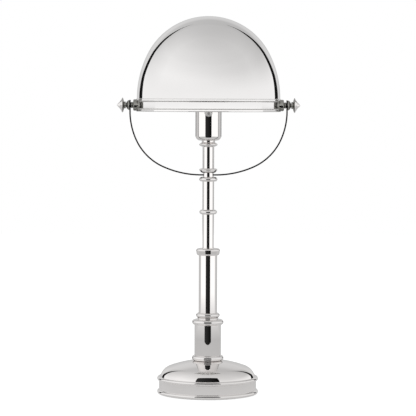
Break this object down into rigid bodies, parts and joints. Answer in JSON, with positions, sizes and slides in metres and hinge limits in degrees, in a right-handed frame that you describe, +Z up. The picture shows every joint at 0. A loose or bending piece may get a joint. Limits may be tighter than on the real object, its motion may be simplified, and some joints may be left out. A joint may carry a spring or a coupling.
{
  "type": "desk lamp",
  "caption": "Metal desk lamp with a domed shade that tilts in a U-shaped yoke, on a ringed stem, drum column and round weighted base, with a turn-knob switch.",
  "frame": {"origin": "centre of the felt face that stands on the table", "axes": "+Z up along the stem, X along the tilt axis of the shade, -Y to the front, where the switch knob is, +Y to the back, where the cord leaves"},
  "size_m": [0.296, 0.2328, 0.6104],
  "materials": {
    "nickel": "polished nickel plate on brass",
    "shade_nickel": "polished nickel plate outside, white lacquer inside",
    "steel": "zinc plated",
    "iron": "rough cast",
    "felt": "felt",
    "black_plastic": "matt",
    "socket_resin": "moulded phenolic resin",
    "brass": "bare",
    "solder": "satin",
    "black_glass": "gloss",
    "cap_metal": "satin",
    "opal_glass": "frosted"
  },
  "bodies": {
    "root": {"felt_pad": "felt", "base_shell": "nickel", "base_weight": "iron", "lock_washer": "steel", "lock_nut": "steel", "base_pipe": "steel", "cord_bushing": "black_plastic", "drum_foot": "nickel", "drum": "nickel", "drum_cap": "nickel", "column_collar": "nickel", "column": "nickel", "column_cap": "nickel", "lower_stem": "nickel", "stem_ring": "nickel", "middle_stem": "nickel", "hub_ring": "nickel", "yoke_hub": "nickel", "hub_grub_screw": "steel", "hub_crown_ring": "nickel", "upper_stem": "nickel", "cup_collar": "nickel", "cup_pipe": "steel", "socket_cup": "nickel", "socket_body": "socket_resin", "screw_shell": "brass", "centre_contact": "brass", "bulb_tip": "solder", "bulb_insulator": "black_glass", "bulb_cap": "cap_metal", "bulb_glass": "opal_glass", "switch_collar": "nickel", "yoke": "nickel", "bell_washer_left": "nickel", "bell_washer_right": "nickel"},
    "shade": {"shade_dome": "shade_nickel", "shade_band": "shade_nickel", "pivot_boss_left": "nickel", "pivot_boss_right": "nickel", "pivot_spacer_left": "nickel", "pivot_spacer_right": "nickel", "pivot_nut_left": "nickel", "pivot_nut_right": "nickel"},
    "finial_left": {"finial_screw_left": "nickel"},
    "finial_right": {"finial_screw_right": "nickel"},
    "switch": {"switch_knob": "nickel", "switch_shaft": "steel"}
  },
  "joints": [
    {"name": "shade_tilt", "type": "hinge", "parent": "root", "child": "shade", "pos_m": [0, 0, 0.46727], "axis": [1, 0, 0], "range_deg": [-75, 75]},
    {"name": "finial_left_turn", "type": "hinge", "parent": "shade", "child": "finial_left", "pos_m": [-0.13, 0, 0.46727], "axis": [-1, 0, 0], "range_deg": [0, 360]},
    {"name": "finial_right_turn", "type": "hinge", "parent": "shade", "child": "finial_right", "pos_m": [0.13, 0, 0.46727], "axis": [1, 0, 0], "range_deg": [0, 360]},
    {"name": "switch_turn", "type": "hinge", "parent": "root", "child": "switch", "pos_m": [0, -0.025, 0.45547], "axis": [0, -1, 0], "continuous": true}
  ]
}
